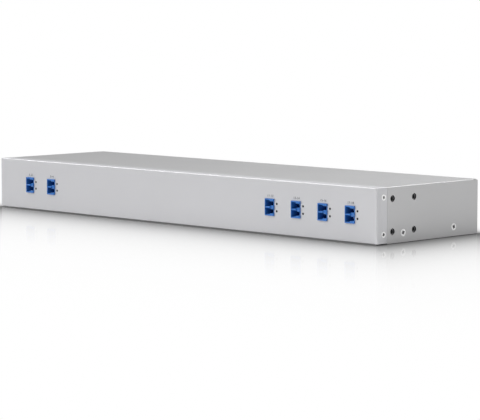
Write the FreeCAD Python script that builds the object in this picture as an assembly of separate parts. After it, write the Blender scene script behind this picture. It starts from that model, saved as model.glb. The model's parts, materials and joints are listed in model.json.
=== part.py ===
import FreeCAD
import Part
import math
import os

# Coarse wavelength division multiplexer: a 1U rack box with six duplex fibre adapters on its front.
# Lengths are millimetres. The origin is the middle of the base, X runs along the front to the right,
# Y runs to the rear and Z is up.

Vector = FreeCAD.Vector
X_AXIS = Vector(1, 0, 0)
Y_AXIS = Vector(0, 1, 0)
Z_AXIS = Vector(0, 0, 1)
ORIGIN = Vector(0, 0, 0)
QUARTER_TURN = 90.0
OVERCUT = 5.0  # how far a cutting solid runs past the face that it cuts
ROUND_SIDES = 12  # flats of a small round solid
FINE_SIDES = 8  # flats of a slim one

# Case
CASE_WIDTH = 440.0
CASE_DEPTH = 120.0
CASE_HEIGHT = 43.0
SKIN = 1.5  # sheet of the front panel and of the cover
FOLD = 0.8  # outside radius of a fold, which is sharp on the inside
SEAM = 0.12  # open seam between two folded edges
PANEL_FLANGE = 12.0  # depth of the flanges folded back from the front panel
PANEL_FOOT = 0.7  # lower edge of the front panel, above the base
COVER_FOOT = 0.2  # lower edge of the cover walls, above the base
REAR_FLANGE = 12.0  # height of the flange folded down at the rear of the cover
REAR_RETURN = 12.0  # width of the flanges folded in at the rear of the side walls
RELIEF_LENGTH = 5.0  # the fold along the top of a side wall stops this far before the rear
RELIEF_GAP = 0.4
CORNER_DROP = 0.7  # a rear corner of the side wall stands this much lower than the top

# Tray
TRAY_SHEET = 1.2
TRAY_FIT = 0.1  # play between the tray and the skin
TRAY_WALL = 14.0  # height of the side upstands
TRAY_REAR = 39.0  # height of the rear wall

# Brackets that take the panel screws, welded to the inside of the cover
BRACKET_SHEET = 1.4
BRACKET_FOOT = 3.5  # clear of the panel's lower flange
BRACKET_HEAD = 3.0  # below the top of the case, clear of the panel's upper flange
BRACKET_NOSE = 3.0  # front edge, behind the face of the front panel
BRACKET_GAP = 0.4  # between the bracket and the front edge of the tray
BRACKET_ARM = 14.0
BRACKET_ARM_WIDTH = 13.0

# Screws
PANEL_SCREW_BACK = 8.0  # behind the front face
PANEL_SCREW_SPREAD = 28.0
PANEL_SCREW_HEAD = 2.5
PANEL_SCREW_THREAD = 1.25
COVER_SCREW_BACK = 30.5
COVER_SCREW_PITCH = 60.0
COVER_SCREW_HEIGHT = 7.5
COVER_SCREW_HEAD = 3.0
COVER_SCREW_THREAD = 1.5
SCREW_LENGTH = 6.0
HEAD_CLEARANCE = 0.12
THREAD_CLEARANCE = 0.05

# Rack-ear holes
EAR_HOLE_BACK = 18.0
EAR_HOLE_PITCH = 25.0
EAR_HOLE = 2.5
EAR_THREAD = 2.0  # to the flats of the bore
EAR_NUT_ACROSS = 7.0
EAR_NUT_HEIGHT = 3.2
EAR_NUT_CLEARANCE = 0.6

# Adapters
CHANNEL_COUNT = 4
LINE_COUNT = 2
ADAPTER_PITCH = 28.0
CHANNEL_MARGIN = 26.4  # last channel adapter, from the right end of the case
LINE_MARGIN = 40.1  # first line adapter, from the left end of the case
LIP_WIDTH = 9.4
LIP_HEIGHT = 13.3
LIP_PROUD = 1.3
BODY_WIDTH = 8.9
BODY_HEIGHT = 12.7
ADAPTER_LENGTH = 26.0
CUTOUT_FIT = 0.1
PORT_PITCH = 6.25
PORT_WALL = 0.4
PLUG_OPENING = 4.75
MOUTH_FLARE = 0.3  # the mouth grows by this much up and down, on the side away from the latch
MOUTH_LENGTH = 6.0
LATCH_RISE = 3.3
LATCH_WIDTH = 3.3
LATCH_LENGTH = 8.5
NOTCH_DEPTH = 1.1
NOTCH_FLOOR = 2.2
WEB_RECESS = 1.0
LEDGE = 2.0  # length of the ledges half-way along a port
HOLDER_FLANGE = 1.2
HOLDER_FIT = 0.1
BARREL_CLEARANCE = 0.15
BARREL_LENGTH = 11.4
BARREL_RADIUS = 1.5
SLEEVE_LENGTH = 11.0
SLEEVE_RADIUS = 0.8
SLEEVE_FIT = 0.05
FERRULE_RADIUS = 0.62
FERRULE_FIT = 0.01

# Spring clips
CLIP_SHEET = 0.4
CLIP_FIT = 0.05
CLIP_LENGTH = 7.0
CLIP_GAP = 1.5
CLIP_TAB_WIDTH = 4.0
CLIP_TAB_RUN = 5.0
CLIP_TAB_RISE = 1.1

# Inner plugs
PLUG_FIT = 0.1
PLUG_REACH = 10.5
PLUG_CAVITY = 1.7
FERRULE_SEAT = 2.5
YOKE_GAP = 0.2
YOKE_LENGTH = 9.0
YOKE_WALL = 0.6
ARM_SHEET = 0.7
ARM_WIDTH = 2.6
ARM_TIP = 3.0
BOOT_LENGTH = 14.0
BOOT_ROOT = 2.6
BOOT_END = 1.5

# Pigtail cords
CORD_RADIUS = 1.0
CORD_SIDES = 6
CORD_BEND = 25.0
CORD_STEPS = 6  # straight steps of a bend
CORD_LEAD = 3.0
CORD_FIT = 0.1
LANE_PITCH = 8.0

# Filter cassette
CASSETTE_WIDTH = 110.0
CASSETTE_DEPTH = 82.0
CASSETTE_HEIGHT = 16.0
CASSETTE_WALL = 1.5
CASSETTE_BACK = 28.0  # front wall of the cassette, behind the front face
CASSETTE_HEADROOM = 4.5  # rim of the cassette above the cords
LID_THICKNESS = 1.5
FILTER_COUNT = 4
FILTER_RADIUS = 2.75
FILTER_LENGTH = 35.0
FILTER_PITCH = 16.0
FILTER_FIT = 0.05
CRADLE_THICKNESS = 2.0
CRADLE_INSET = 6.0
CRADLE_FLOOR = 2.5
CRADLE_DEPTH = 3.0
POST_ACROSS = 5.5
POST_INSET = 8.0
COMB_THICKNESS = 4.0
COMB_MARGIN = 4.0
COMB_RISE = 3.0

# Places that several pieces share
FRONT = -CASE_DEPTH / 2
REAR = CASE_DEPTH / 2
SIDE = CASE_WIDTH / 2
MID_HEIGHT = CASE_HEIGHT / 2
PANEL_BACK = FRONT + SKIN
COVER_FRONT = FRONT + PANEL_FLANGE + SEAM
TRAY_SIDE = SIDE - SKIN - TRAY_FIT
TRAY_END = REAR - SKIN - TRAY_FIT
ADAPTER_FACE = FRONT - LIP_PROUD
ADAPTER_REAR = ADAPTER_FACE + ADAPTER_LENGTH
ADAPTER_MIDDLE = ADAPTER_FACE + ADAPTER_LENGTH / 2
LEDGE_FRONT = ADAPTER_MIDDLE - LEDGE / 2
LEDGE_REAR = ADAPTER_MIDDLE + LEDGE / 2
PLUG_LEFT = PORT_WALL - BODY_WIDTH / 2
PLUG_RIGHT = PLUG_LEFT + PLUG_OPENING
PLUG_AXIS = (PLUG_LEFT + PLUG_RIGHT) / 2
LATCH_RIGHT = PLUG_RIGHT + LATCH_RISE
YOKE_FRONT = ADAPTER_REAR + YOKE_GAP
BOOT_FRONT = YOKE_FRONT + YOKE_LENGTH
CORD_START = BOOT_FRONT + BOOT_LENGTH
FIRST_LANE = CORD_START + CORD_LEAD + CORD_BEND
CHANNEL_X = [SIDE - CHANNEL_MARGIN - ADAPTER_PITCH * i for i in range(CHANNEL_COUNT)][::-1]
LINE_X = [LINE_MARGIN - SIDE + ADAPTER_PITCH * i for i in range(LINE_COUNT)]
ADAPTER_X = LINE_X + CHANNEL_X
PORT_RISE = (PORT_PITCH / 2, -PORT_PITCH / 2)
CASSETTE_X = (LINE_X[-1] + CHANNEL_X[0]) / 2 + PLUG_AXIS
CASSETTE_LEFT = CASSETTE_X - CASSETTE_WIDTH / 2
CASSETTE_RIGHT = CASSETTE_X + CASSETTE_WIDTH / 2
CASSETTE_FRONT = FRONT + CASSETTE_BACK
CASSETTE_REAR = CASSETTE_FRONT + CASSETTE_DEPTH
CASSETTE_RIM = MID_HEIGHT + CASSETTE_HEADROOM
CASSETTE_FLOOR = CASSETTE_RIM - CASSETTE_HEIGHT
PANEL_SCREW_PLACES = [
    (FRONT + PANEL_SCREW_BACK, MID_HEIGHT + half * PANEL_SCREW_SPREAD / 2) for half in (-1, 1)
]
COVER_SCREW_PLACES = [
    (FRONT + COVER_SCREW_BACK + COVER_SCREW_PITCH * i, COVER_SCREW_HEIGHT) for i in range(2)
]
EAR_HOLE_PLACES = [
    (FRONT + EAR_HOLE_BACK + EAR_HOLE_PITCH * i, MID_HEIGHT + half * EAR_HOLE_PITCH / 2)
    for i in range(2)
    for half in (-1, 1)
]


# Basic solids
def box(x, y, z):
    """A box between the two values of each pair."""
    return Part.makeBox(x[1] - x[0], y[1] - y[0], z[1] - z[0], Vector(x[0], y[0], z[0]))


def rod(radius, start, end):
    along = end - start
    return Part.makeCylinder(radius, along.Length, start, along)


def polygon_face(points):
    return Part.Face(Part.makePolygon(points + points[:1]))


def prism(points, along):
    return polygon_face(points).extrude(along)


def regular_points(centre, first, second, radius, sides):
    """Corners of a regular polygon in the plane of the two directions, the first corner along the first."""
    angles = [2 * math.pi * i / sides for i in range(sides)]
    return [centre + first * (radius * math.cos(a)) + second * (radius * math.sin(a)) for a in angles]


def skinned(outlines):
    """A solid through outlines with equal numbers of corners, closed by the first and by the last."""
    faces = [polygon_face(outlines[0]), polygon_face(outlines[-1])]
    for near, far in zip(outlines, outlines[1:]):
        for i in range(len(near)):
            faces.append(polygon_face([near[i - 1], near[i], far[i], far[i - 1]]))
    return Part.Solid(Part.Shell(faces))


def bar_across(place, stations):
    """A bar along X with flats, through stations of x and corner radius."""
    y, z = place
    return skinned([
        regular_points(Vector(x, y, z), Z_AXIS, Y_AXIS, radius, ROUND_SIDES) for x, radius in stations
    ])


def bar_back(x, z, stations):
    """A slim bar along Y with flats, through stations of y and corner radius."""
    return skinned([
        regular_points(Vector(x, y, z), Z_AXIS, X_AXIS, radius, FINE_SIDES) for y, radius in stations
    ])


def joined(shapes):
    return shapes[0].fuse(shapes[1:]).removeSplitter()


def mirrored(shape):
    """The same shape on the other side of the case."""
    return shape.mirror(ORIGIN, X_AXIS)


def both_sides(shapes):
    return shapes + [mirrored(shape) for shape in shapes]


def export(name, solids):
    shape = solids[0] if len(solids) == 1 else Part.makeCompound(solids)
    shape.exportStep(os.path.join("parts", name + ".step"))


# Folded sheet
def offset_points(points, distance, normal):
    """Corners of the line that lies at a distance to the left of the given line."""
    runs = [(b - a).normalize() for a, b in zip(points, points[1:])]
    lefts = [normal.cross(run) for run in runs]
    corners = [points[0] + lefts[0] * distance]
    for point, before, after in zip(points[1:-1], lefts, lefts[1:]):
        corners.append(point + (before + after) * (distance / (1 + before.dot(after))))
    corners.append(points[-1] + lefts[-1] * distance)
    return corners


def rounded_edges(points, radius):
    """Straight runs joined by tangent arcs of one radius."""
    edges = []
    start = points[0]
    for before, corner, after in zip(points, points[1:], points[2:]):
        run_in = (corner - before).normalize()
        run_out = (after - corner).normalize()
        half_turn = run_in.getAngle(run_out) / 2
        reach = radius * math.tan(half_turn)
        inward = (run_out - run_in).normalize()
        arc_start = corner - run_in * reach
        arc_middle = corner + inward * (radius / math.cos(half_turn) - radius)
        arc_end = corner + run_out * reach
        edges.append(Part.makeLine(start, arc_start))
        edges.append(Part.Arc(arc_start, arc_middle, arc_end).toShape())
        start = arc_end
    edges.append(Part.makeLine(start, points[-1]))
    return edges


def folded(points, sheet, normal, along):
    """Sheet folded along a line of outside corners, with the inside to the left of the line."""
    inner = offset_points(points, sheet, normal)
    edges = rounded_edges(points, FOLD)
    edges += [Part.makeLine(a, b) for a, b in zip(inner, inner[1:])]
    edges.append(Part.makeLine(points[0], inner[0]))
    edges.append(Part.makeLine(points[-1], inner[-1]))
    wire = Part.Wire(Part.__sortEdges__(edges))
    return Part.Face(wire).extrude(along)


# Screws and their holes, all on the right side of the case with their axis along X
def countersunk(place, head, shank):
    """A countersunk head at the outside face, with a straight shank behind it."""
    return bar_across(place, [(SIDE, head), (SIDE - head + shank, shank), (SIDE - SCREW_LENGTH, shank)])


def countersunk_hole(place, head, shank):
    return countersunk(place, head + HEAD_CLEARANCE, shank + HEAD_CLEARANCE)


def straight_hole(place, radius):
    return bar_across(place, [(SIDE + OVERCUT, radius), (SIDE - SCREW_LENGTH, radius)])


def screw_set(places, head, thread):
    return both_sides([countersunk(place, head, thread) for place in places])


# Front panel: a pan with side flanges over the full height, and top and bottom flanges between them
def front_panel():
    back = FRONT + PANEL_FLANGE
    across = [
        Vector(-SIDE, back, PANEL_FOOT),
        Vector(-SIDE, FRONT, PANEL_FOOT),
        Vector(SIDE, FRONT, PANEL_FOOT),
        Vector(SIDE, back, PANEL_FOOT),
    ]
    sides = folded(across, SKIN, Z_AXIS, Z_AXIS * (CASE_HEIGHT - PANEL_FOOT))
    flat = SIDE - SKIN
    face_depth = (FRONT - OVERCUT, PANEL_BACK)
    top_edge = (CASE_HEIGHT - SKIN, CASE_HEIGHT + OVERCUT)
    bottom_edge = (PANEL_FOOT - OVERCUT, PANEL_FOOT + SKIN)
    sides = sides.cut([box((-flat, flat), face_depth, edge) for edge in (top_edge, bottom_edge)])
    end = flat - SEAM
    upright = [
        Vector(-end, back, CASE_HEIGHT),
        Vector(-end, FRONT, CASE_HEIGHT),
        Vector(-end, FRONT, PANEL_FOOT),
        Vector(-end, back, PANEL_FOOT),
    ]
    face = folded(upright, SKIN, X_AXIS, X_AXIS * (2 * end))
    half_width = BODY_WIDTH / 2 + CUTOUT_FIT
    half_height = BODY_HEIGHT / 2 + CUTOUT_FIT
    cutouts = [
        box(
            (x - half_width, x + half_width),
            (FRONT - OVERCUT, PANEL_BACK + OVERCUT),
            (MID_HEIGHT - half_height, MID_HEIGHT + half_height),
        )
        for x in ADAPTER_X
    ]
    holes = [countersunk_hole(place, PANEL_SCREW_HEAD, PANEL_SCREW_THREAD) for place in PANEL_SCREW_PLACES]
    return joined([sides, face]).cut(cutouts + both_sides(holes))


# Cover: top, side walls, rear flange and rear returns folded from one sheet
def top_cover():
    relief = REAR - RELIEF_LENGTH
    section = [
        Vector(SIDE, COVER_FRONT, COVER_FOOT),
        Vector(SIDE, COVER_FRONT, CASE_HEIGHT),
        Vector(-SIDE, COVER_FRONT, CASE_HEIGHT),
        Vector(-SIDE, COVER_FRONT, COVER_FOOT),
    ]
    main = folded(section, SKIN, -Y_AXIS, Y_AXIS * (relief - COVER_FRONT))
    end = SIDE - SKIN - SEAM
    rear_line = [
        Vector(-end, relief, CASE_HEIGHT),
        Vector(-end, REAR, CASE_HEIGHT),
        Vector(-end, REAR, CASE_HEIGHT - REAR_FLANGE),
    ]
    rear = folded(rear_line, SKIN, -X_AXIS, X_AXIS * (2 * end))
    corner_top = CASE_HEIGHT - CORNER_DROP
    return_top = CASE_HEIGHT - REAR_FLANGE - SEAM
    wall = side_end(relief, REAR_RETURN, COVER_FOOT, return_top)
    corner = side_end(relief, SKIN, return_top, corner_top)
    notch = box(
        (SIDE - SKIN, SIDE + OVERCUT),
        (relief, relief + RELIEF_GAP),
        (CASE_HEIGHT - SKIN, CASE_HEIGHT + OVERCUT),
    )
    ends = both_sides([wall, corner.cut(notch)])
    holes = [countersunk_hole(place, COVER_SCREW_HEAD, COVER_SCREW_THREAD) for place in COVER_SCREW_PLACES]
    for y, z in EAR_HOLE_PLACES:
        holes.append(rod(EAR_HOLE, Vector(SIDE + OVERCUT, y, z), Vector(SIDE - SKIN - OVERCUT, y, z)))
    return joined([main, rear] + ends).cut(both_sides(holes))


def side_end(start, width, low, high):
    """Rear end of the right side wall, folded in at the rear."""
    line = [
        Vector(SIDE, start, low),
        Vector(SIDE, REAR, low),
        Vector(SIDE - width - SEAM, REAR, low),
    ]
    return folded(line, SKIN, Z_AXIS, Z_AXIS * (high - low))


# Tray: floor, side upstands and a rear wall
def base_tray():
    upstand_end = TRAY_END - TRAY_SHEET - SEAM
    section = [
        Vector(-TRAY_SIDE, COVER_FRONT, TRAY_WALL),
        Vector(-TRAY_SIDE, COVER_FRONT, 0),
        Vector(TRAY_SIDE, COVER_FRONT, 0),
        Vector(TRAY_SIDE, COVER_FRONT, TRAY_WALL),
    ]
    main = folded(section, TRAY_SHEET, -Y_AXIS, Y_AXIS * (upstand_end - COVER_FRONT))
    end = TRAY_SIDE - TRAY_SHEET - SEAM
    rear_line = [
        Vector(-end, COVER_FRONT, 0),
        Vector(-end, TRAY_END, 0),
        Vector(-end, TRAY_END, TRAY_REAR),
    ]
    rear = folded(rear_line, TRAY_SHEET, X_AXIS, X_AXIS * (2 * end))
    holes = [straight_hole(place, COVER_SCREW_THREAD + THREAD_CLEARANCE) for place in COVER_SCREW_PLACES]
    reach = EAR_NUT_ACROSS / math.sqrt(3) + EAR_NUT_CLEARANCE
    for y, z in EAR_HOLE_PLACES:
        holes.append(
            box(
                (TRAY_SIDE - TRAY_SHEET - OVERCUT, TRAY_SIDE + TRAY_FIT),
                (y - reach, y + reach),
                (z - reach, CASE_HEIGHT),
            )
        )
    return joined([main, rear]).cut(both_sides(holes))


def panel_bracket():
    """A flat plate behind the right flange of the panel, with an arm along the inside of the cover."""
    nose = FRONT + BRACKET_NOSE
    neck = COVER_FRONT - BRACKET_GAP
    arm_end = COVER_FRONT + BRACKET_ARM
    top = CASE_HEIGHT - BRACKET_HEAD
    arm_low = MID_HEIGHT - BRACKET_ARM_WIDTH / 2
    arm_high = MID_HEIGHT + BRACKET_ARM_WIDTH / 2
    outline = [
        (nose, BRACKET_FOOT),
        (neck, BRACKET_FOOT),
        (neck, arm_low),
        (arm_end, arm_low),
        (arm_end, arm_high),
        (neck, arm_high),
        (neck, top),
        (nose, top),
    ]
    plate = prism([Vector(SIDE - SKIN, y, z) for y, z in outline], -X_AXIS * BRACKET_SHEET)
    thread = PANEL_SCREW_THREAD + THREAD_CLEARANCE
    return plate.cut([straight_hole(place, thread) for place in PANEL_SCREW_PLACES])


def ear_nut(place):
    """A hexagonal weld nut on the inside of the right wall."""
    y, z = place
    inside = SIDE - SKIN
    corners = regular_points(Vector(inside, y, z), Z_AXIS, Y_AXIS, EAR_NUT_ACROSS / math.sqrt(3), 6)
    bore = EAR_THREAD / math.cos(math.pi / ROUND_SIDES)
    return prism(corners, -X_AXIS * EAR_NUT_HEIGHT).cut(straight_hole(place, bore))


# Adapter, about its own middle: x along the latch direction, z along the row of two ports
def through_well(axis):
    """Square well from the front to the rear, with two ledges left half-way along it."""
    half = PLUG_OPENING / 2
    height = (axis - half, axis + half)
    gap = BARREL_RADIUS + BARREL_CLEARANCE
    ledges = [
        box(across, (LEDGE_FRONT, LEDGE_REAR), height)
        for across in ((PLUG_LEFT, PLUG_AXIS - gap), (PLUG_AXIS + gap, PLUG_RIGHT))
    ]
    return box((PLUG_LEFT, PLUG_RIGHT), (ADAPTER_FACE, ADAPTER_REAR), height).cut(ledges)


def flared_mouth(axis):
    half = PLUG_OPENING / 2
    flared = half + MOUTH_FLARE
    corners = [
        Vector(PLUG_LEFT, ADAPTER_FACE, axis - flared),
        Vector(PLUG_RIGHT, ADAPTER_FACE, axis - half),
        Vector(PLUG_RIGHT, ADAPTER_FACE, axis + half),
        Vector(PLUG_LEFT, ADAPTER_FACE, axis + flared),
    ]
    return prism(corners, Y_AXIS * MOUTH_LENGTH)


def latch_way(axis, start):
    half = LATCH_WIDTH / 2
    return box((PLUG_AXIS, LATCH_RIGHT), (start, start + LATCH_LENGTH), (axis - half, axis + half))


def latch_notch(axis):
    """Notch in the lip beside the mouth of a latch way."""
    half = LATCH_WIDTH / 2
    floor_half = NOTCH_FLOOR / 2
    corners = [
        Vector(LATCH_RIGHT, ADAPTER_FACE, axis - half),
        Vector(LATCH_RIGHT, ADAPTER_FACE, axis + half),
        Vector(LATCH_RIGHT, ADAPTER_FACE + NOTCH_DEPTH, axis + floor_half),
        Vector(LATCH_RIGHT, ADAPTER_FACE + NOTCH_DEPTH, axis - floor_half),
    ]
    return prism(corners, X_AXIS * LIP_WIDTH)


def port_space(axis):
    """What one port takes out of the adapter."""
    return joined([
        through_well(axis),
        flared_mouth(axis),
        latch_way(axis, ADAPTER_FACE),
        latch_notch(axis),
        latch_way(axis, ADAPTER_REAR - LATCH_LENGTH),
    ])


def adapter(x):
    half_width = BODY_WIDTH / 2
    half_height = BODY_HEIGHT / 2
    body = box((-half_width, half_width), (FRONT, ADAPTER_REAR), (-half_height, half_height))
    lip = box(
        (-LIP_WIDTH / 2, LIP_WIDTH / 2),
        (ADAPTER_FACE, FRONT),
        (-LIP_HEIGHT / 2, LIP_HEIGHT / 2),
    )
    web_half = PORT_PITCH / 2
    web_recess = box(
        (PLUG_RIGHT, LATCH_RIGHT),
        (ADAPTER_FACE, ADAPTER_FACE + WEB_RECESS),
        (-web_half, web_half),
    )
    ports = [port_space(axis) for axis in PORT_RISE]
    return joined([body, lip]).cut(ports + [web_recess]).translated(Vector(x, 0, MID_HEIGHT))


def sleeve_holder(x, axis):
    """A barrel for one sleeve, with a square flange behind the ledges of its port."""
    height = MID_HEIGHT + axis
    half = PLUG_OPENING / 2 - HOLDER_FIT
    flange = box(
        (x + PLUG_LEFT + HOLDER_FIT, x + PLUG_RIGHT - HOLDER_FIT),
        (LEDGE_REAR, LEDGE_REAR + HOLDER_FLANGE),
        (height - half, height + half),
    )
    barrel = middle_bar(x, height, BARREL_RADIUS, BARREL_LENGTH)
    bore = middle_bar(x, height, SLEEVE_RADIUS + SLEEVE_FIT, BARREL_LENGTH + OVERCUT)
    return flange.fuse(barrel).cut(bore)


def middle_bar(x, height, radius, length):
    """A bar on the axis of one port, about the middle of the adapter."""
    half = length / 2
    stations = [(ADAPTER_MIDDLE - half, radius), (ADAPTER_MIDDLE + half, radius)]
    return bar_back(x + PLUG_AXIS, height, stations)


def sleeve(x, axis):
    height = MID_HEIGHT + axis
    outer = middle_bar(x, height, SLEEVE_RADIUS, SLEEVE_LENGTH)
    return outer.cut(middle_bar(x, height, FERRULE_RADIUS + FERRULE_FIT, SLEEVE_LENGTH + OVERCUT))


def ferrule(x, axis):
    end = ADAPTER_MIDDLE + BARREL_LENGTH / 2 + YOKE_GAP + FERRULE_SEAT
    return bar_back(
        x + PLUG_AXIS, MID_HEIGHT + axis, [(ADAPTER_MIDDLE, FERRULE_RADIUS), (end, FERRULE_RADIUS)]
    )


# Spring clip: a strip round three sides of the adapter, with two tabs against the back of the panel
def adapter_clip(x):
    left = x - BODY_WIDTH / 2 - CLIP_FIT - CLIP_SHEET
    right = x + BODY_WIDTH / 2
    half_height = BODY_HEIGHT / 2 + CLIP_FIT + CLIP_SHEET
    start = PANEL_BACK + CLIP_GAP
    end = start + CLIP_LENGTH
    block = box((left, right), (start, end), (MID_HEIGHT - half_height, MID_HEIGHT + half_height))
    inner_half = half_height - CLIP_SHEET
    inside = box(
        (left + CLIP_SHEET, right + OVERCUT),
        (start - OVERCUT, end + OVERCUT),
        (MID_HEIGHT - inner_half, MID_HEIGHT + inner_half),
    )
    tab_root = half_height - CLIP_SHEET / 2
    tab_corners = [
        Vector(x - CLIP_TAB_WIDTH / 2, PANEL_BACK, tab_root + CLIP_TAB_RISE),
        Vector(x - CLIP_TAB_WIDTH / 2, PANEL_BACK, tab_root + CLIP_TAB_RISE + CLIP_SHEET),
        Vector(x - CLIP_TAB_WIDTH / 2, PANEL_BACK + CLIP_TAB_RUN, tab_root + CLIP_SHEET / 2),
        Vector(x - CLIP_TAB_WIDTH / 2, PANEL_BACK + CLIP_TAB_RUN, tab_root),
    ]
    upper = prism(tab_corners, X_AXIS * CLIP_TAB_WIDTH)
    lower = upper.mirror(ORIGIN, Z_AXIS)
    rise = Vector(0, 0, MID_HEIGHT)
    return joined([block.cut(inside), upper.translated(rise), lower.translated(rise)])


# Inner plug: two plug noses in the rear ports, joined by a yoke with one boot
def plug_nose(x, axis):
    half = PLUG_OPENING / 2 - PLUG_FIT
    start = ADAPTER_REAR - PLUG_REACH
    centre = MID_HEIGHT + axis
    nose = box(
        (x + PLUG_LEFT + PLUG_FIT, x + PLUG_RIGHT - PLUG_FIT),
        (start, YOKE_FRONT),
        (centre - half, centre + half),
    )
    cavity = box(
        (x + PLUG_AXIS - PLUG_CAVITY, x + PLUG_AXIS + PLUG_CAVITY),
        (start, ADAPTER_MIDDLE + BARREL_LENGTH / 2 + YOKE_GAP),
        (centre - PLUG_CAVITY, centre + PLUG_CAVITY),
    )
    return joined([nose.cut(cavity), latch_arm(x, centre)])


def latch_arm(x, centre):
    """Springy arm that rises from the nose towards the yoke."""
    root = x + PLUG_RIGHT - PLUG_FIT
    tip = x + PLUG_RIGHT + ARM_TIP
    low = centre - ARM_WIDTH / 2
    start = ADAPTER_REAR - LATCH_LENGTH + PLUG_FIT
    end = YOKE_FRONT + ARM_TIP
    corners = [
        Vector(root - ARM_SHEET, start, low),
        Vector(root, start, low),
        Vector(tip, end - ARM_SHEET, low),
        Vector(tip, end, low),
        Vector(tip - ARM_SHEET, end, low),
        Vector(root - ARM_SHEET, start + ARM_SHEET, low),
    ]
    return prism(corners, Z_AXIS * ARM_WIDTH)


def duplex_plug(x):
    half_height = PORT_PITCH / 2 + PLUG_OPENING / 2 + YOKE_WALL
    yoke = box(
        (x + PLUG_LEFT - YOKE_WALL, x + PLUG_RIGHT + YOKE_WALL),
        (YOKE_FRONT, BOOT_FRONT),
        (MID_HEIGHT - half_height, MID_HEIGHT + half_height),
    )
    boot = bar_back(x + PLUG_AXIS, MID_HEIGHT, [(BOOT_FRONT, BOOT_ROOT), (CORD_START, BOOT_END)])
    noses = [plug_nose(x, axis) for axis in PORT_RISE]
    return joined([yoke, boot] + noses).cut([ferrule(x, axis) for axis in PORT_RISE])


# Pigtail cord: straight out of the boot, one bend towards the cassette, and straight into its wall
def lane(row):
    return FIRST_LANE + LANE_PITCH * row


def pigtail_cord(x, row, turn):
    """The turn is 1 for a cord that bends to the left and -1 for one that bends to the right."""
    start = Vector(x + PLUG_AXIS, CORD_START, MID_HEIGHT)
    section = regular_points(start, Z_AXIS, X_AXIS, CORD_RADIUS, CORD_SIDES)
    lead = Y_AXIS * (lane(row) - CORD_BEND - CORD_START)
    bend_start = [point + lead for point in section]
    pivot = start + lead - X_AXIS * (turn * CORD_BEND)
    outlines = [section]
    for step in range(CORD_STEPS + 1):
        swing = FreeCAD.Rotation(Z_AXIS, turn * QUARTER_TURN * step / CORD_STEPS)
        outlines.append([pivot + swing.multVec(point - pivot) for point in bend_start])
    wall = CASSETTE_RIGHT - CASSETTE_WALL if turn > 0 else CASSETTE_LEFT + CASSETTE_WALL
    run = X_AXIS * (wall - pivot.x)
    outlines.append([point + run for point in outlines[-1]])
    return skinned(outlines)


def cord_rows():
    """Each cord as the place of its adapter, its lane and the side to which it bends."""
    channels = [(x, row, 1) for row, x in enumerate(CHANNEL_X)]
    lines = [(x, row, -1) for row, x in enumerate(LINE_X[::-1])]
    return sorted(channels + lines)


# Filter cassette
def filter_columns():
    """Middle of the two columns, joining filters on the left and splitting filters on the right."""
    return CASSETTE_X - CASSETTE_WIDTH / 4, CASSETTE_X + CASSETTE_WIDTH / 4


def filter_rows():
    middle = (CASSETTE_FRONT + CASSETTE_REAR) / 2
    return [middle + FILTER_PITCH * (i - (FILTER_COUNT - 1) / 2) for i in range(FILTER_COUNT)]


def filter_tubes(column):
    z = CASSETTE_FLOOR + CASSETTE_WALL + CRADLE_FLOOR + FILTER_RADIUS
    half = FILTER_LENGTH / 2
    stations = [(column - half, FILTER_RADIUS), (column + half, FILTER_RADIUS)]
    return [bar_across((y, z), stations) for y in filter_rows()]


def cradle(x):
    """Cross rib with a seat for each filter of a column."""
    floor = CASSETTE_FLOOR + CASSETTE_WALL
    rows = filter_rows()
    seat = FILTER_RADIUS + FILTER_FIT
    across = (x - CRADLE_THICKNESS / 2, x + CRADLE_THICKNESS / 2)
    top = floor + CRADLE_FLOOR + CRADLE_DEPTH
    rib = box(across, (rows[0] - FILTER_PITCH / 2, rows[-1] + FILTER_PITCH / 2), (floor, top))
    seats = [box(across, (y - seat, y + seat), (floor + CRADLE_FLOOR, top)) for y in rows]
    return rib.cut(seats)


def filter_cassette():
    outer = box(
        (CASSETTE_LEFT, CASSETTE_RIGHT),
        (CASSETTE_FRONT, CASSETTE_REAR),
        (CASSETTE_FLOOR, CASSETTE_RIM),
    )
    inner = box(
        (CASSETTE_LEFT + CASSETTE_WALL, CASSETTE_RIGHT - CASSETTE_WALL),
        (CASSETTE_FRONT + CASSETTE_WALL, CASSETTE_REAR - CASSETTE_WALL),
        (CASSETTE_FLOOR + CASSETTE_WALL, CASSETTE_RIM + OVERCUT),
    )
    half = CORD_RADIUS + CORD_FIT
    windows = []
    for x, row, turn in cord_rows():
        wall = CASSETTE_RIGHT if turn > 0 else CASSETTE_LEFT
        windows.append(
            box(
                (wall - 2 * CASSETTE_WALL, wall + 2 * CASSETTE_WALL),
                (lane(row) - half, lane(row) + half),
                (MID_HEIGHT - half, MID_HEIGHT + half),
            )
        )
    reach = FILTER_LENGTH / 2 - CRADLE_INSET
    cradles = [cradle(column + end * reach) for column in filter_columns() for end in (-1, 1)]
    return joined([outer.cut([inner] + windows)] + cradles)


def cassette_lid():
    return box(
        (CASSETTE_LEFT, CASSETTE_RIGHT),
        (CASSETTE_FRONT, CASSETTE_REAR),
        (CASSETTE_RIM, CASSETTE_RIM + LID_THICKNESS),
    )


def cassette_posts():
    posts = []
    for x in (CASSETTE_LEFT + POST_INSET, CASSETTE_RIGHT - POST_INSET):
        for y in (CASSETTE_FRONT + POST_INSET, CASSETTE_REAR - POST_INSET):
            foot = Vector(x, y, TRAY_SHEET)
            corners = regular_points(foot, X_AXIS, Y_AXIS, POST_ACROSS / math.sqrt(3), 6)
            posts.append(prism(corners, Z_AXIS * (CASSETTE_FLOOR - TRAY_SHEET)))
    return posts


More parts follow.
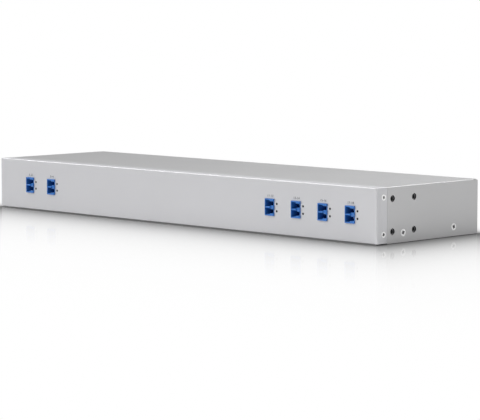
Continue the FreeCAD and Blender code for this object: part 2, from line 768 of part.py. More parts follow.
def cord_comb(x, rows):
    """Upright comb on the tray, with one open slot for each cord."""
    half = CORD_RADIUS + CORD_FIT
    across = (x - COMB_THICKNESS / 2, x + COMB_THICKNESS / 2)
    span = (lane(0) - half - COMB_MARGIN, lane(rows - 1) + half + COMB_MARGIN)
    top = MID_HEIGHT + CORD_RADIUS + COMB_RISE
    plate = box(across, span, (TRAY_SHEET, top))
    slots = [
        box(across, (lane(row) - half, lane(row) + half), (MID_HEIGHT - CORD_RADIUS, top + OVERCUT))
        for row in range(rows)
    ]
    return plate.cut(slots)


os.makedirs("parts", exist_ok=True)
export("front_panel", [front_panel()])
export("top_cover", [top_cover()])
export("base_tray", [base_tray()])
export("panel_brackets", both_sides([panel_bracket()]))
export("panel_screws", screw_set(PANEL_SCREW_PLACES, PANEL_SCREW_HEAD, PANEL_SCREW_THREAD))
export("cover_screws", screw_set(COVER_SCREW_PLACES, COVER_SCREW_HEAD, COVER_SCREW_THREAD))
export("ear_nuts", both_sides([ear_nut(place) for place in EAR_HOLE_PLACES]))
for number, (x, row, turn) in enumerate(cord_rows(), start=1):
    export("lc_adapter_%d" % number, [adapter(x)])
    export("adapter_clip_%d" % number, [adapter_clip(x)])
    export("sleeve_holders_%d" % number, [sleeve_holder(x, axis) for axis in PORT_RISE])
    export("alignment_sleeves_%d" % number, [sleeve(x, axis) for axis in PORT_RISE])
    export("duplex_plug_%d" % number, [duplex_plug(x)])
    export("ferrules_%d" % number, [ferrule(x, axis) for axis in PORT_RISE])
    export("pigtail_cord_%d" % number, [pigtail_cord(x, row, turn)])
export("filter_cassette", [filter_cassette()])
export("cassette_lid", [cassette_lid()])
joining_column, splitting_column = filter_columns()
export("joining_filters", filter_tubes(joining_column))
export("splitting_filters", filter_tubes(splitting_column))
export("cassette_posts", cassette_posts())
right_comb_x = (CASSETTE_RIGHT + CHANNEL_X[0] + PLUG_AXIS - CORD_BEND) / 2
left_comb_x = (CASSETTE_LEFT + LINE_X[-1] + PLUG_AXIS + CORD_BEND) / 2
export("right_cord_comb", [cord_comb(right_comb_x, CHANNEL_COUNT)])
export("left_cord_comb", [cord_comb(left_comb_x, LINE_COUNT)])
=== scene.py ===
import json
import math

import bmesh
import bpy
from mathutils import Matrix, Vector


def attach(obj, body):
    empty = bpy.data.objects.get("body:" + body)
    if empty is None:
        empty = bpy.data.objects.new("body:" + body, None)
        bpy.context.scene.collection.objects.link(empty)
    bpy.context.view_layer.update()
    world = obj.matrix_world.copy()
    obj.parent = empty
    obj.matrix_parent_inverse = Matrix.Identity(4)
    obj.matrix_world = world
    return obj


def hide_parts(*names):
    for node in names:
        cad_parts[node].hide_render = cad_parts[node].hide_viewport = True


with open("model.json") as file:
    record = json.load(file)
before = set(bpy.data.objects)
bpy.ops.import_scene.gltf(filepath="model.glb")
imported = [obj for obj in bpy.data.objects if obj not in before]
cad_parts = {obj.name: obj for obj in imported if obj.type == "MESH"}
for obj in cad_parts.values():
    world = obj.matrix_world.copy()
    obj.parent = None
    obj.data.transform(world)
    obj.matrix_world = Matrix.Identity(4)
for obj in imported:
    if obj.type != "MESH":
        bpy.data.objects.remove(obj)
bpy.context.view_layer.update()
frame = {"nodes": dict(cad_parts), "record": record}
NODES = frame["nodes"]
SLOT_OF_NODE = {row["node"]: row["material_slot"] for row in frame["record"]["subparts"]}

# Places and sizes of the CAD model, in metres, in the frame of the part
MM = 0.001
SIDE = 220.0 * MM
FRONT = -60.0 * MM
REAR = 60.0 * MM
CASE_TOP = 43.0 * MM
MID_HEIGHT = 21.5 * MM
WALL = 1.5 * MM
PANEL_FOLD = 0.8 * MM  # outer radius of the panel's folds
ADAPTER_X = [x * MM for x in (-179.9, -151.9, 109.6, 137.6, 165.6, 193.6)]
ADAPTER_NUMBERS = range(1, len(ADAPTER_X) + 1)
ADAPTER_MIDDLE = -48.3 * MM  # along y
PLUG_AXIS = -1.675 * MM  # from the middle of an adapter, along x
PORT_RISE = (3.125 * MM, -3.125 * MM)
PANEL_SCREW_PLACES = [(-52.0 * MM, z * MM) for z in (7.5, 35.5)]
COVER_SCREW_PLACES = [(y * MM, 7.5 * MM) for y in (-29.5, 30.5)]
EAR_HOLE_PLACES = [(y * MM, z * MM) for y in (-42.0, -17.0) for z in (9.0, 34.0)]


# Node helpers for materials
NOISE_LOW, NOISE_HIGH = 0.3, 0.7  # most of the noise lies between these


def add_node(tree, kind, **values):
    """A node with some of its inputs or settings filled in."""
    node = tree.nodes.new(kind)
    for name, value in values.items():
        if hasattr(node, name):
            setattr(node, name, value)
        else:
            node.inputs[name.replace("_", " ").title()].default_value = value
    return node


def noise(tree, vector, size, detail):
    """Noise whose features are about as wide as the size."""
    node = add_node(tree, "ShaderNodeTexNoise", detail=detail, scale=1.0 / size)
    tree.links.new(vector, node.inputs["Vector"])
    return node.outputs["Fac"]


def spread(tree, factor, low, high):
    """Noise taken to a range of values."""
    node = tree.nodes.new("ShaderNodeMapRange")
    node.inputs["From Min"].default_value = NOISE_LOW
    node.inputs["From Max"].default_value = NOISE_HIGH
    node.inputs["To Min"].default_value = low
    node.inputs["To Max"].default_value = high
    tree.links.new(factor, node.inputs["Value"])
    return node.outputs["Result"]


def tinted(colour, amount):
    return [min(1.0, channel * amount) for channel in colour] + [1.0]


def surface(name, colour, roughness, metallic=0.0, blotch=0.03, blotch_size=30.0 * MM, grain=0.2,
            grain_size=0.4 * MM, grain_depth=0.02 * MM, stretch=(1.0, 1.0, 1.0), uneven=0.05, specular=0.5):
    """A surface whose colour and roughness wander a little, with fine grain as bump."""
    made = bpy.data.materials.new(name)
    made.use_nodes = True
    tree = made.node_tree
    shader = tree.nodes["Principled BSDF"]
    shader.inputs["Metallic"].default_value = metallic
    shader.inputs["Specular IOR Level"].default_value = specular
    place = tree.nodes.new("ShaderNodeTexCoord").outputs["Object"]
    mapping = tree.nodes.new("ShaderNodeMapping")
    mapping.inputs["Scale"].default_value = stretch
    tree.links.new(place, mapping.inputs["Vector"])
    wide = noise(tree, place, blotch_size, detail=4.0)
    fine = noise(tree, mapping.outputs["Vector"], grain_size, detail=3.0)
    mix = add_node(tree, "ShaderNodeMix", data_type="RGBA")
    first_colour, second_colour, mixed_colour = mix.inputs[6], mix.inputs[7], mix.outputs[2]
    first_colour.default_value = tinted(colour, 1.0 - blotch)
    second_colour.default_value = tinted(colour, 1.0 + blotch)
    tree.links.new(spread(tree, wide, 0.0, 1.0), mix.inputs["Factor"])
    tree.links.new(mixed_colour, shader.inputs["Base Color"])
    tree.links.new(spread(tree, fine, roughness - uneven, roughness + uneven), shader.inputs["Roughness"])
    bump = tree.nodes.new("ShaderNodeBump")
    bump.inputs["Strength"].default_value = grain
    bump.inputs["Distance"].default_value = grain_depth
    tree.links.new(fine, bump.inputs["Height"])
    tree.links.new(bump.outputs["Normal"], shader.inputs["Normal"])
    return made


# Materials, one for each slot of the record: name, colour, roughness and what sets the kind apart
PAINT = {"metallic": 0.37, "blotch": 0.012, "blotch_size": 60.0 * MM, "grain": 0.12}
MOULDED = {"blotch": 0.04, "blotch_size": 4.0 * MM, "grain": 0.12, "grain_size": 0.25 * MM}
BLACK_MOULDED = {"blotch": 0.08, "blotch_size": 10.0 * MM, "grain": 0.3}
PALE_MOULDED = {"blotch": 0.04, "blotch_size": 6.0 * MM}
JACKET = {"blotch": 0.05, "blotch_size": 6.0 * MM}
CERAMIC = {"blotch": 0.02, "blotch_size": 2.0 * MM}
ZINC = {"metallic": 0.8, "blotch": 0.05, "blotch_size": 15.0 * MM}
SMALL_STEEL = {"blotch": 0.05, "blotch_size": 2.0 * MM}
INK_LOOK = {"blotch": 0.15, "blotch_size": 0.4 * MM, "specular": 0.1}
DRAWN_ALONG_X = {"metallic": 1.0, "stretch": (0.05, 1.0, 1.0)}
DRAWN_ALONG_Y = {"metallic": 1.0, "stretch": (1.0, 0.1, 1.0)}
DRAWN_ALONG_Z = {"metallic": 1.0, "stretch": (1.0, 1.0, 0.1)}
MATERIALS = {
    "panel_paint": surface("panel_paint", (0.575, 0.575, 0.592), 0.45, **PAINT),
    "cover_paint": surface("cover_paint", (0.505, 0.505, 0.510), 0.38, **PAINT),
    "tray_zinc": surface("tray_zinc", (0.60, 0.61, 0.62), 0.38, **ZINC),
    "screw_steel": surface("screw_steel", (0.88, 0.88, 0.88), 0.34, metallic=0.2, **SMALL_STEEL),
    "nut_steel": surface("nut_steel", (0.72, 0.72, 0.725), 0.42, metallic=0.7, **SMALL_STEEL),
    "adapter_blue": surface("adapter_blue", (0.026, 0.148, 0.465), 0.34, **MOULDED),
    "clip_steel": surface("clip_steel", (0.68, 0.68, 0.68), 0.28, **DRAWN_ALONG_Y),
    "sleeve_ceramic": surface("sleeve_ceramic", (0.88, 0.87, 0.84), 0.22, **CERAMIC),
    "plug_blue": surface("plug_blue", (0.04, 0.21, 0.58), 0.36, **MOULDED),
    "ferrule_ceramic": surface("ferrule_ceramic", (0.90, 0.90, 0.88), 0.15, **CERAMIC),
    "cord_yellow": surface("cord_yellow", (0.82, 0.55, 0.04), 0.45, **JACKET),
    "cassette_plastic": surface("cassette_plastic", (0.035, 0.037, 0.04), 0.5, **BLACK_MOULDED),
    "lid_plastic": surface("lid_plastic", (0.05, 0.052, 0.055), 0.45, **BLACK_MOULDED),
    "filter_tube": surface("filter_tube", (0.74, 0.74, 0.73), 0.25, **DRAWN_ALONG_X),
    "post_brass": surface("post_brass", (0.70, 0.50, 0.20), 0.3, **DRAWN_ALONG_Z),
    "comb_plastic": surface("comb_plastic", (0.78, 0.78, 0.75), 0.5, **PALE_MOULDED),
}
PRINT_BLACK = surface("print_black", (0.006, 0.006, 0.006), 0.55, **INK_LOOK)
# Dark grey for the faces of the screws' cross recesses: painted shade in the recess, not a colour of the
# steel
RECESS_PAINTED_SHADE = surface("recess_painted_shade", (0.2, 0.2, 0.202), 0.5, **SMALL_STEEL)
# Near black for the threads in the ear holes: painted shade inside the holes, not a colour of the steel
THREAD_PAINTED_SHADE = surface("thread_painted_shade", (0.05, 0.05, 0.052), 0.5, metallic=0.3, **SMALL_STEEL)

for node, made_slot in SLOT_OF_NODE.items():
    for material_slot in NODES[node].material_slots:
        material_slot.material = MATERIALS[made_slot]


# Mesh helpers
MERGE_WITHIN = 0.05 * MM
FLAT_WITHIN = math.radians(0.5)
BREAK_ABOVE = math.radians(40.0)  # edges that turn more than this are broken
ROUND_STEPS = 40  # facets around a small turned piece


def put(bm, name, slot, materials=(), sharp=30.0, replaces=()):
    """Turns a bmesh into a piece of the object, with smooth shading but for its sharp edges."""
    mesh = bpy.data.meshes.new(name)
    bmesh.ops.recalc_face_normals(bm, faces=bm.faces)
    bm.to_mesh(mesh)
    bm.free()
    for material in materials or (MATERIALS[slot],):
        mesh.materials.append(material)
    mesh.polygons.foreach_set("use_smooth", [True] * len(mesh.polygons))
    mesh.set_sharp_from_angle(angle=math.radians(sharp))
    piece = bpy.data.objects.new(name, mesh)
    bpy.context.scene.collection.objects.link(piece)
    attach(piece, "root")
    if replaces:
        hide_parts(*replaces)
    return piece


def refined(node, name, width, rounded=None, radius=0.0):
    """A node's own shape with its sharp edges broken, and the edges that a test picks rounded off."""
    bm = bmesh.new()
    bm.from_mesh(NODES[node].data)
    for face in bm.faces:
        face.material_index = 0
    bmesh.ops.remove_doubles(bm, verts=bm.verts, dist=MERGE_WITHIN)
    bmesh.ops.dissolve_limit(
        bm, angle_limit=FLAT_WITHIN, use_dissolve_boundaries=False, verts=bm.verts, edges=bm.edges
    )
    if rounded:
        picked = [edge for edge in bm.edges if rounded(edge)]
        bmesh.ops.bevel(bm, geom=picked, offset=radius, segments=4, profile=0.5, affect="EDGES")
    piece = put(bm, name, SLOT_OF_NODE[node], replaces=(node,))
    bevel = piece.modifiers.new("broken_edges", "BEVEL")
    bevel.width = width
    bevel.segments = 2
    bevel.limit_method = "ANGLE"
    bevel.angle_limit = BREAK_ABOVE
    bevel.harden_normals = True
    bevel.use_clamp_overlap = True
    return piece


def turned(bm, matrix, profile, angles, closed=True, squared=()):
    """Turns a profile of radius and height about the local Z axis; a squared ring is a square that wide."""
    rings = []
    for number, (radius, height) in enumerate(profile):
        if radius == 0.0:
            rings.append([bm.verts.new(matrix @ Vector((0.0, 0.0, height)))])
            continue
        ring = []
        for angle in angles:
            across, along = math.cos(angle), math.sin(angle)
            reach = radius / max(abs(across), abs(along)) if number in squared else radius
            ring.append(bm.verts.new(matrix @ Vector((reach * across, reach * along, height))))
        rings.append(ring)
    pairs = list(zip(rings, rings[1:]))
    if closed:
        pairs.append((rings[-1], rings[0]))
    count = len(angles)
    for near, far in pairs:
        for i in range(count):
            j = (i + 1) % count
            corners = [near[i % len(near)], near[j % len(near)], far[j % len(far)], far[i % len(far)]]
            bm.faces.new(list(dict.fromkeys(corners)))
    return rings


def even_angles(count):
    return [2 * math.pi * i / count for i in range(count)]


def facing(place, side):
    """Local Z out of a side wall of the case, at a place in y and z."""
    turn = Matrix.Rotation(math.radians(90.0 * side), 4, "Y")
    return Matrix.Translation(Vector((side * SIDE, place[0], place[1]))) @ turn


# Countersunk screws with a cross recess; the recess is sized by the radius of the head
RECESS_ARM, RECESS_HALF, RECESS_WAIST, RECESS_DEPTH = 0.56, 0.13, 0.26, 0.45
RECESS_TAPER = 0.6  # width of the recess at its bottom, as a share of that at its mouth
HEAD_FLUSH = 0.005 * MM  # below the wall
HEAD_GROOVE = 0.2 * MM  # around the head
PANEL_SCREW_HEAD, PANEL_SCREW_SHANK = 2.5 * MM, 1.25 * MM
COVER_SCREW_HEAD, COVER_SCREW_SHANK = 3.0 * MM, 1.5 * MM
SCREW_LENGTH = 5.9 * MM
SCREW_TURNS = [math.radians(turn) for turn in (22.0, 61.0, 8.0, 47.0)]
GAP_STEPS = 8  # facets of the rim between two arms of the recess
QUARTER_STEPS = GAP_STEPS + 2
GAP_MIDDLE = 2 + GAP_STEPS // 2


def cross_head(bm, matrix, head, shank):
    """One screw, flush with the wall; the faces of its recess get the second material, a dark grey that
    paints the shade in the recess.
    """
    arm, half, waist = RECESS_ARM * head, RECESS_HALF * head, RECESS_WAIST * head
    depth = RECESS_DEPTH * head
    rim = head - HEAD_GROOVE
    edge = math.asin(half / rim)
    gap = math.pi / 2 - 2 * edge
    angles = []
    for quarter in range(4):
        start = quarter * math.pi / 2
        angles += [start - edge, start]
        angles += [start + edge + gap * i / GAP_STEPS for i in range(GAP_STEPS)]
    profile = [
        (rim, -HEAD_FLUSH),
        (rim, -HEAD_GROOVE),
        (shank, -(head - shank)),
        (shank, -SCREW_LENGTH),
        (0.0, -SCREW_LENGTH),
    ]
    top = turned(bm, matrix, profile, angles, closed=False)[0]
    centre = bm.verts.new(matrix @ Vector((0.0, 0.0, -depth)))
    mouth, bottom = [], []
    for quarter in range(4):
        turn = matrix @ Matrix.Rotation(quarter * math.pi / 2, 4, "Z")
        for x, y in ((arm, -half), (arm, half), (waist, waist)):
            mouth.append(bm.verts.new(turn @ Vector((x, y, -HEAD_FLUSH))))
            bottom.append(bm.verts.new(turn @ Vector((x * RECESS_TAPER, y * RECESS_TAPER, -depth))))
    count = len(mouth)
    for quarter in range(4):
        right, left, inner = mouth[3 * quarter:3 * quarter + 3]
        following = mouth[(3 * quarter + 3) % count]
        base = QUARTER_STEPS * quarter
        bm.faces.new([right, top[base], top[base + 1], top[base + 2], left])
        bm.faces.new([left] + [top[base + i] for i in range(2, GAP_MIDDLE + 1)] + [inner])
        last = [top[(base + i) % len(top)] for i in range(GAP_MIDDLE, QUARTER_STEPS + 1)]
        bm.faces.new([inner] + last + [following])
    # The recess walls and ends take the painted shade material
    for i in range(count):
        j = (i + 1) % count
        wall = bm.faces.new([mouth[i], mouth[j], bottom[j], bottom[i]])
        end = bm.faces.new([bottom[i], bottom[j], centre])
        wall.material_index = 1
        end.material_index = 1


def screw_piece(name, node, places, head, shank):
    bm = bmesh.new()
    spots = [(place, side) for side in (1, -1) for place in places]
    for (place, side), turn in zip(spots, SCREW_TURNS):
        cross_head(bm, facing(place, side) @ Matrix.Rotation(turn, 4, "Z"), head, shank)
    return put(bm, name, "screw_steel", (MATERIALS["screw_steel"], RECESS_PAINTED_SHADE), replaces=(node,))


screw_piece("panel_screw_heads", "panel_screws", PANEL_SCREW_PLACES, PANEL_SCREW_HEAD, PANEL_SCREW_SHANK)
screw_piece("cover_screw_heads", "cover_screws", COVER_SCREW_PLACES, COVER_SCREW_HEAD, COVER_SCREW_SHANK)


# Threads of the ear holes, through the wall and on into the nuts, near black as painted shade inside the
# holes
WALL_THREAD = {
    "outer": 2.495 * MM,
    "major": 2.46 * MM,
    "minor": 2.24 * MM,
    "start": -0.05 * MM,
    "turns": 2,
    "pitch": 0.70 * MM,
}
NUT_THREAD = {
    "outer": 1.995 * MM,
    "major": 1.98 * MM,
    "minor": 1.66 * MM,
    "start": -WALL,
    "turns": 5,
    "pitch": 0.64 * MM,
}
CREST_START, CREST_END = 0.4, 0.6  # as shares of the pitch


def threaded_tube(bm, matrix, outer, major, minor, start, turns, pitch):
    """A thin tube with ridges like a thread's inside, its local Z out of the hole."""
    profile = []
    for turn in range(turns):
        top = start - turn * pitch
        profile += [(major, top), (minor, top - CREST_START * pitch), (minor, top - CREST_END * pitch)]
    end = start - turns * pitch
    profile += [(major, end), (outer, end), (outer, start)]
    turned(bm, matrix, profile, even_angles(ROUND_STEPS))


def thread_piece():
    bm = bmesh.new()
    for side in (1, -1):
        for place in EAR_HOLE_PLACES:
            matrix = facing(place, side)
            threaded_tube(bm, matrix, **WALL_THREAD)
            threaded_tube(bm, matrix, **NUT_THREAD)
    # The threads take the near-black painted shade material
    return put(bm, "ear_threads", "nut_steel", (THREAD_PAINTED_SHADE,), sharp=20.0)


thread_piece()


# Adapters with broken edges, and round sleeve holders and sleeves in their ports
HOUSING_BREAK = 0.08 * MM

for number in ADAPTER_NUMBERS:
    refined("lc_adapter_%d" % number, "adapter_housing_%d" % number, HOUSING_BREAK)


def along_port(x, rise):
    """Local Z out of a port's mouth, from the middle of its adapter."""
    turn = Matrix.Rotation(math.radians(90.0), 4, "X")
    return Matrix.Translation(Vector((x + PLUG_AXIS, ADAPTER_MIDDLE, MID_HEIGHT + rise))) @ turn


def in_every_port(name, slot, profile, replaced, squared=()):
    """A turned piece in both ports of each adapter, in place of the nodes of that name."""
    bm = bmesh.new()
    for x in ADAPTER_X:
        for rise in PORT_RISE:
            turned(bm, along_port(x, rise), profile, even_angles(ROUND_STEPS), squared=squared)
    nodes = ["%s_%d" % (replaced, number) for number in ADAPTER_NUMBERS]
    return put(bm, name, slot, replaces=nodes)


BARREL, BARREL_BORE, BARREL_END = 1.5 * MM, 0.85 * MM, 5.7 * MM
FLANGE_HALF, FLANGE_TOP, FLANGE_FOOT = 2.27 * MM, -1.0 * MM, -2.2 * MM
EASE = 0.2 * MM
HOLDER = [
    (BARREL, FLANGE_TOP),
    (BARREL, BARREL_END - EASE),
    (BARREL - EASE, BARREL_END),
    (BARREL_BORE + EASE, BARREL_END),
    (BARREL_BORE, BARREL_END - EASE),
    (BARREL_BORE, EASE - BARREL_END),
    (BARREL_BORE + EASE, -BARREL_END),
    (BARREL - EASE, -BARREL_END),
    (BARREL, EASE - BARREL_END),
    (BARREL, FLANGE_FOOT),
    (FLANGE_HALF, FLANGE_FOOT),
    (FLANGE_HALF, FLANGE_TOP),
]
FLANGE_RINGS = (len(HOLDER) - 2, len(HOLDER) - 1)
in_every_port("round_holders", "adapter_blue", HOLDER, "sleeve_holders", squared=FLANGE_RINGS)

SLEEVE, SLEEVE_BORE, SLEEVE_HALF = 0.79 * MM, 0.632 * MM, 5.5 * MM
BREAK = 0.05 * MM
CERAMIC_SLEEVE = [
    (SLEEVE, BREAK - SLEEVE_HALF),
    (SLEEVE, SLEEVE_HALF - BREAK),
    (SLEEVE - BREAK, SLEEVE_HALF),
    (SLEEVE_BORE + BREAK, SLEEVE_HALF),
    (SLEEVE_BORE, SLEEVE_HALF - BREAK),
    (SLEEVE_BORE, BREAK - SLEEVE_HALF),
    (SLEEVE_BORE + BREAK, -SLEEVE_HALF),
    (SLEEVE - BREAK, -SLEEVE_HALF),
]
in_every_port("ceramic_sleeves", "sleeve_ceramic", CERAMIC_SLEEVE, "alignment_sleeves")


# Sheet metal with broken edges, and a round along the upper ends of the panel's side flanges
SHEET_BREAK = 0.05 * MM
FLANGE_ROUND = 0.45 * MM
SLACK = 0.05 * MM  # for picking edges by their places


def flange_top(edge):
    """Whether an edge runs along the outer side of the upper end of a side flange of the panel."""
    lowest = min(vert.co.z for vert in edge.verts)
    rearmost = max(vert.co.y for vert in edge.verts)
    innermost = min(abs(vert.co.x) for vert in edge.verts)
    on_top = lowest > CASE_TOP - SLACK
    on_flange = innermost > SIDE - PANEL_FOLD - SLACK
    on_face = rearmost < FRONT + SLACK and innermost > SIDE - WALL - SLACK
    return on_top and (on_flange or on_face)


refined("front_panel", "panel_sheet", SHEET_BREAK, flange_top, FLANGE_ROUND)
refined("top_cover", "cover_sheet", SHEET_BREAK)


# Printed marks: two dots beside each adapter and a plain pair of numbers above it
INK = 0.02 * MM  # thickness
DOT_RADIUS, DOT_EASE = 0.92 * MM, 0.94
DOT_OFFSET = 7.2 * MM  # from the middle of the adapter
DOT_HEIGHTS = (24.4 * MM, 18.65 * MM)
DOT_STEPS = 32
SHORT_NUMBER, LONG_NUMBER = 4.5 * MM, 6.0 * MM  # widths
NUMBERS = [
    ("1-2", SHORT_NUMBER),
    ("3-4", SHORT_NUMBER),
    ("11-12", LONG_NUMBER),
    ("13-14", LONG_NUMBER),
    ("15-16", LONG_NUMBER),
    ("17-18", LONG_NUMBER),
]
NUMBER_HEIGHT = 1.7 * MM
NUMBER_OFFSET = 0.5 * MM  # from the middle of the adapter
NUMBER_LEVEL = 30.4 * MM  # middle of the number
TO_FRONT = Matrix.Rotation(math.radians(90.0), 4, "X")


def dot_piece():
    bm = bmesh.new()
    profile = [
        (0.0, 0.0),
        (DOT_RADIUS, 0.0),
        (DOT_RADIUS, 0.5 * INK),
        (DOT_RADIUS * DOT_EASE, INK),
        (0.0, INK),
    ]
    for x in ADAPTER_X:
        for z in DOT_HEIGHTS:
            matrix = Matrix.Translation(Vector((x + DOT_OFFSET, FRONT, z))) @ TO_FRONT
            turned(bm, matrix, profile, even_angles(DOT_STEPS), closed=False)
    return put(bm, "printed_dots", "panel_paint", (PRINT_BLACK,), sharp=60.0)


def number_mesh(text):
    """Plain numbers as a mesh, in the font's own size."""
    curve = bpy.data.curves.new("number", "FONT")
    curve.body = text
    curve.resolution_u = 6
    curve.extrude = 0.005
    holder = bpy.data.objects.new("number", curve)
    bpy.context.scene.collection.objects.link(holder)
    bpy.context.view_layer.update()
    mesh = bpy.data.meshes.new_from_object(holder.evaluated_get(bpy.context.evaluated_depsgraph_get()))
    bpy.data.objects.remove(holder)
    bpy.data.curves.remove(curve)
    return mesh


def number_piece():
    bm = bmesh.new()
    for x, (text, width) in zip(ADAPTER_X, NUMBERS):
        mesh = number_mesh(text)
        corners = [vert.co for vert in mesh.vertices]
        low = Vector([min(corner[i] for corner in corners) for i in range(3)])
        high = Vector([max(corner[i] for corner in corners) for i in range(3)])
        span = high - low
        scale = Matrix.Diagonal((width / span.x, NUMBER_HEIGHT / span.y, INK / span.z, 1.0))
        place = Matrix.Translation(Vector((x + NUMBER_OFFSET, FRONT - 0.5 * INK, NUMBER_LEVEL)))
        mesh.transform(place @ TO_FRONT @ scale @ Matrix.Translation(-(low + high) / 2))
        bm.from_mesh(mesh)
        bpy.data.meshes.remove(mesh)
    return put(bm, "printed_numbers", "panel_paint", (PRINT_BLACK,))


dot_piece()
number_piece()


# Floor: white, with a painted soft shadow and a mirror image that fade away from the case. Both are wide
# before the front and the right side, and narrow along the left side and the rear.
FLOOR_HALF = 12.0
FLOOR_DROP = 0.05 * MM  # below the case
MIRROR_SHARE, MIRROR_LENGTH, MIRROR_ROUGHNESS = 0.76, 54.0 * MM, 0.05
SHADOW_SHARE, SHADOW_LENGTH = 0.56, 28.0 * MM
SHADE_REACH = 0.6  # how far the ambient shade looks for the case
FRONT_DARKEST = 0.5  # least brightness along the front
FAR_LENGTH = 12.0 * MM  # of both fades along the left side and the rear
# The floor's colour for light thrown back on the case is painted: paler on the right as painted light, darker
# close to the right side as painted shadow
BOUNCE, SIDE_BOUNCE = 0.68, 0.12  # light thrown back on the case, and how much more on the right
BOUNCE_SHADOW, BOUNCE_LENGTH, BOUNCE_START = 0.54, 60.0 * MM, 12.0 * MM  # and how much less close to the side


def calculation(tree, operation, first, second=None):
    """The output of a math node; its inputs are numbers or other outputs."""
    node = add_node(tree, "ShaderNodeMath", operation=operation)
    for socket, value in zip(node.inputs, (first, second)):
        if value is None:
            continue
        if isinstance(value, (int, float)):
            socket.default_value = value
        else:
            tree.links.new(value, socket)
    return node.outputs[0]


def fading(tree, distance, length):
    """One at the case, falling off over a length."""
    ratio = calculation(tree, "DIVIDE", distance, -length)
    return calculation(tree, "EXPONENT", ratio)


def mixed(tree, factor, first, second):
    """The output of a shader node that mixes two others."""
    mix = tree.nodes.new("ShaderNodeMixShader")
    for socket, value in zip(mix.inputs, (factor, first, second)):
        tree.links.new(value, socket)
    return mix.outputs[0]


def seen_floor(tree, right, before, near_gap, far_gap):
    """What the camera sees of the floor: a white glow dimmed by a painted shadow, from the distance to the
    case and from ambient occlusion, and a mirror image dimmed alike.
    """
    reach = calculation(tree, "ADD", near_gap, FAR_LENGTH)
    far_fade = fading(tree, calculation(tree, "DIVIDE", far_gap, reach), 1.0)
    mirror = calculation(tree, "MULTIPLY", fading(tree, near_gap, MIRROR_LENGTH), far_fade)
    mirror = calculation(tree, "MULTIPLY", mirror, MIRROR_SHARE)
    # Painted shadow on the floor, falling off with the distance from the case
    shadow = calculation(tree, "MULTIPLY", fading(tree, near_gap, SHADOW_LENGTH), SHADOW_SHARE)
    lit = calculation(tree, "SUBTRACT", 1.0, shadow)
    shade = add_node(tree, "ShaderNodeAmbientOcclusion", samples=8, distance=SHADE_REACH)
    dim = calculation(tree, "MULTIPLY", calculation(tree, "SQRT", shade.outputs["AO"]), lit)
    # The painted shadow is lifted to a least brightness along the front
    in_front = calculation(tree, "GREATER_THAN", before, right)
    dim = calculation(tree, "MAXIMUM", dim, calculation(tree, "MULTIPLY", in_front, FRONT_DARKEST))
    lost = calculation(tree, "MULTIPLY", calculation(tree, "SUBTRACT", 1.0, dim), far_fade)
    dim = calculation(tree, "SUBTRACT", 1.0, lost)
    white = tree.nodes.new("ShaderNodeEmission")
    tree.links.new(dim, white.inputs["Strength"])
    gloss = add_node(tree, "ShaderNodeBsdfGlossy", roughness=MIRROR_ROUGHNESS)
    tree.links.new(dim, gloss.inputs["Color"])
    return mixed(tree, mirror, white.outputs[0], gloss.outputs[0])


def bounce_floor(tree, right, along, near_gap):
    """What the floor throws back on the case, from a painted colour: paler on the right as painted light, and
    darker close to that side as a painted shadow.
    """
    bounce = tree.nodes.new("ShaderNodeBsdfDiffuse")
    beside = calculation(tree, "GREATER_THAN", right, 0.0)
    inward = calculation(tree, "DIVIDE", calculation(tree, "SUBTRACT", along, FRONT), BOUNCE_START)
    inward = calculation(tree, "MINIMUM", calculation(tree, "MAXIMUM", inward, 0.0), beside)
    side_shadow = calculation(tree, "MULTIPLY", fading(tree, near_gap, BOUNCE_LENGTH), inward)
    side_pale = calculation(tree, "MULTIPLY", beside, SIDE_BOUNCE)
    side_dark = calculation(tree, "MULTIPLY", side_shadow, BOUNCE_SHADOW)
    pale = calculation(tree, "ADD", calculation(tree, "SUBTRACT", side_pale, side_dark), BOUNCE)
    tree.links.new(pale, bounce.inputs["Color"])
    return bounce.outputs[0]


def floor_material():
    made = bpy.data.materials.new("studio_floor")
    made.use_nodes = True
    tree = made.node_tree
    tree.nodes.clear()
    split = tree.nodes.new("ShaderNodeSeparateXYZ")
    tree.links.new(tree.nodes.new("ShaderNodeNewGeometry").outputs["Position"], split.inputs[0])
    across, along = split.outputs["X"], split.outputs["Y"]
    right = calculation(tree, "SUBTRACT", across, SIDE)
    left = calculation(tree, "SUBTRACT", -SIDE, across)
    before = calculation(tree, "SUBTRACT", FRONT, along)
    behind = calculation(tree, "SUBTRACT", along, REAR)
    near_gap = calculation(tree, "MAXIMUM", calculation(tree, "MAXIMUM", right, before), 0.0)
    far_gap = calculation(tree, "MAXIMUM", calculation(tree, "MAXIMUM", left, behind), 0.0)
    seen = seen_floor(tree, right, before, near_gap, far_gap)
    bounce = bounce_floor(tree, right, along, near_gap)
    to_camera = tree.nodes.new("ShaderNodeLightPath").outputs["Is Camera Ray"]
    out = tree.nodes.new("ShaderNodeOutputMaterial")
    tree.links.new(mixed(tree, to_camera, bounce, seen), out.inputs["Surface"])
    return made


bm = bmesh.new()
bmesh.ops.create_grid(bm, x_segments=1, y_segments=1, size=FLOOR_HALF)
floor_mesh = bpy.data.meshes.new("floor")
bm.to_mesh(floor_mesh)
bm.free()
floor = bpy.data.objects.new("floor", floor_mesh)
floor.location.z = -FLOOR_DROP
floor_mesh.materials.append(floor_material())
bpy.context.scene.collection.objects.link(floor)


# Light: a white surround to look at, and a dimmer one with large lamps that light the object
SEEN_SURROUND, LIGHT_SURROUND = 1.0, 0.15
WHITE = (1.0, 1.0, 1.0, 1.0)
LAMP_TARGET = Vector((0.0, 0.0, 0.02))

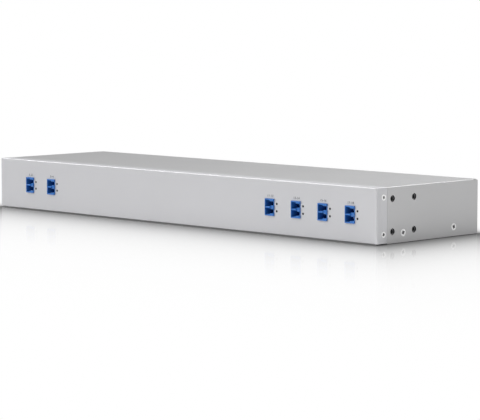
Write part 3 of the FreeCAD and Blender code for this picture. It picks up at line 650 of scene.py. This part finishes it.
world = bpy.data.worlds.new("studio")
bpy.context.scene.world = world
world.use_nodes = True
world_tree = world.node_tree
seen_surround = world_tree.nodes["Background"]
light_surround = world_tree.nodes.new("ShaderNodeBackground")
for surround, strength in ((seen_surround, SEEN_SURROUND), (light_surround, LIGHT_SURROUND)):
    surround.inputs["Color"].default_value = WHITE
    surround.inputs["Strength"].default_value = strength
from_camera = world_tree.nodes.new("ShaderNodeLightPath").outputs["Is Camera Ray"]
both_surrounds = mixed(world_tree, from_camera, light_surround.outputs[0], seen_surround.outputs[0])
world_tree.links.new(both_surrounds, world_tree.nodes["World Output"].inputs["Surface"])


def lamp(name, place, size, power):
    """A lamp of a size in metres and a power in watts, turned to the object."""
    light = bpy.data.lights.new(name, "AREA")
    light.shape = "RECTANGLE"
    light.size, light.size_y = size
    light.energy = power
    holder = bpy.data.objects.new(name, light)
    holder.location = place
    holder.rotation_euler = (LAMP_TARGET - Vector(place)).to_track_quat("-Z", "Y").to_euler()
    bpy.context.scene.collection.objects.link(holder)


lamp("front_lamp", (0.3, -1.4, 1.2), (1.4, 0.8), 12.2)
lamp("front_left_lamp", (-0.9, -1.2, 1.1), (0.7, 0.7), 12.0)
lamp("left_lamp", (-1.25, -0.3, 1.15), (0.6, 0.6), 10.2)
lamp("back_lamp", (0.15, 1.1, 1.1), (0.6, 0.6), 6.0)
lamp("top_lamp", (0.4, 0.15, 0.7), (0.5, 0.5), 5.7)


# Camera, fitted to the corners of the case in the photograph
AZIMUTH = math.radians(44.717)
ELEVATION = math.radians(5.505)
FOCAL_LENGTH, PICTURE_WIDTH = 2236.593, 480.0  # in pixels
SENSOR_WIDTH = 36.0  # in millimetres, as Blender has it
CAMERA_RIGHT, CAMERA_UP, CAMERA_BACK = 12.203 * MM, 7.603 * MM, 1865.486 * MM
RIGHT = Vector((math.cos(AZIMUTH), math.sin(AZIMUTH), 0.0))
BACK = Vector((
    math.sin(AZIMUTH) * math.cos(ELEVATION),
    -math.cos(AZIMUTH) * math.cos(ELEVATION),
    math.sin(ELEVATION),
))
UP = BACK.cross(RIGHT)
camera_data = bpy.data.cameras.new("camera")
camera_data.sensor_fit = "HORIZONTAL"
camera_data.sensor_width = SENSOR_WIDTH
camera_data.lens = FOCAL_LENGTH / PICTURE_WIDTH * SENSOR_WIDTH
camera_data.clip_end = 50.0
camera = bpy.data.objects.new("camera", camera_data)
camera_place = RIGHT * CAMERA_RIGHT + UP * CAMERA_UP + BACK * CAMERA_BACK
camera_turn = Matrix((RIGHT, UP, BACK)).transposed().to_4x4()
camera.matrix_world = Matrix.Translation(camera_place) @ camera_turn
bpy.context.scene.collection.objects.link(camera)
bpy.context.scene.camera = camera
bpy.context.scene.view_settings.view_transform = "Standard"

bpy.context.view_layer.update()
